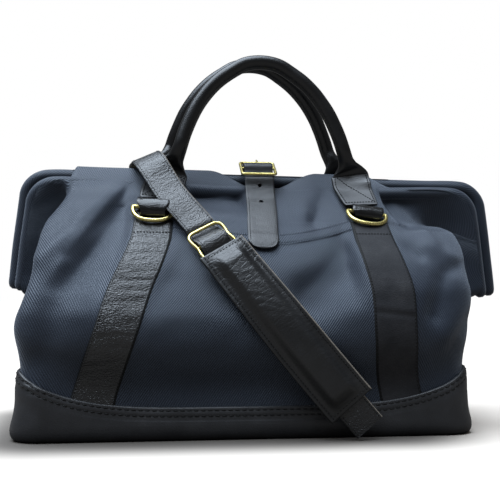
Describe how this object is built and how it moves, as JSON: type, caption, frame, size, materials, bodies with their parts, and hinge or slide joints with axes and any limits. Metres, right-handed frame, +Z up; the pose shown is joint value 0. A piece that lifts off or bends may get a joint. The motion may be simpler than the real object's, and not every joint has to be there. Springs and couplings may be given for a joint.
{
  "type": "trunk bag",
  "caption": "Soft frame-mouth travel bag: canvas walls on a leather base, rolled handles, D-rings, buckled closure strap, slip pocket and a padded shoulder strap laid over it.",
  "frame": {"origin": "middle of the leather base's flat underside", "axes": "+X along the bag to the viewer's right, -Y out of the front wall with the slip pocket, +Z up"},
  "size_m": [0.571, 0.2804, 0.4261],
  "materials": {
    "navy_canvas": "matte navy twill canvas",
    "black_leather": "satin black leather",
    "brass": "pale satin brass"
  },
  "bodies": {
    "bag": {"canvas_front": "navy_canvas", "canvas_back": "navy_canvas", "pocket_front": "navy_canvas", "rim_front": "navy_canvas", "rim_back": "navy_canvas", "leather_base": "black_leather", "strap_front_left": "black_leather", "strap_front_right": "black_leather", "strap_back_left": "black_leather", "strap_back_right": "black_leather", "ring_loop_front_left": "black_leather", "ring_loop_front_right": "black_leather", "ring_loop_back_left": "black_leather", "ring_loop_back_right": "black_leather", "handle_front": "black_leather", "handle_back": "black_leather", "closure_strap": "black_leather", "buckle_chape": "black_leather", "closure_buckle": "brass", "buckle_prong": "brass", "shoulder_strap": "black_leather", "strap_slide": "brass", "shoulder_pad": "black_leather", "d_ring_front_left": "brass", "d_ring_back_left": "brass"},
    "front_ring": {"d_ring_front_right": "brass"},
    "back_ring": {"d_ring_back_right": "brass"}
  },
  "joints": [
    {"name": "front_ring_swing", "type": "hinge", "parent": "bag", "child": "front_ring", "pos_m": [0.13933, -0.05337, 0.23888], "axis": [-0.9912, 0.0407, 0.1257], "range_deg": [0, 100]},
    {"name": "back_ring_swing", "type": "hinge", "parent": "bag", "child": "back_ring", "pos_m": [0.13933, 0.05292, 0.24552], "axis": [0.9978, -0.0417, -0.0525], "range_deg": [0, 100]}
  ]
}
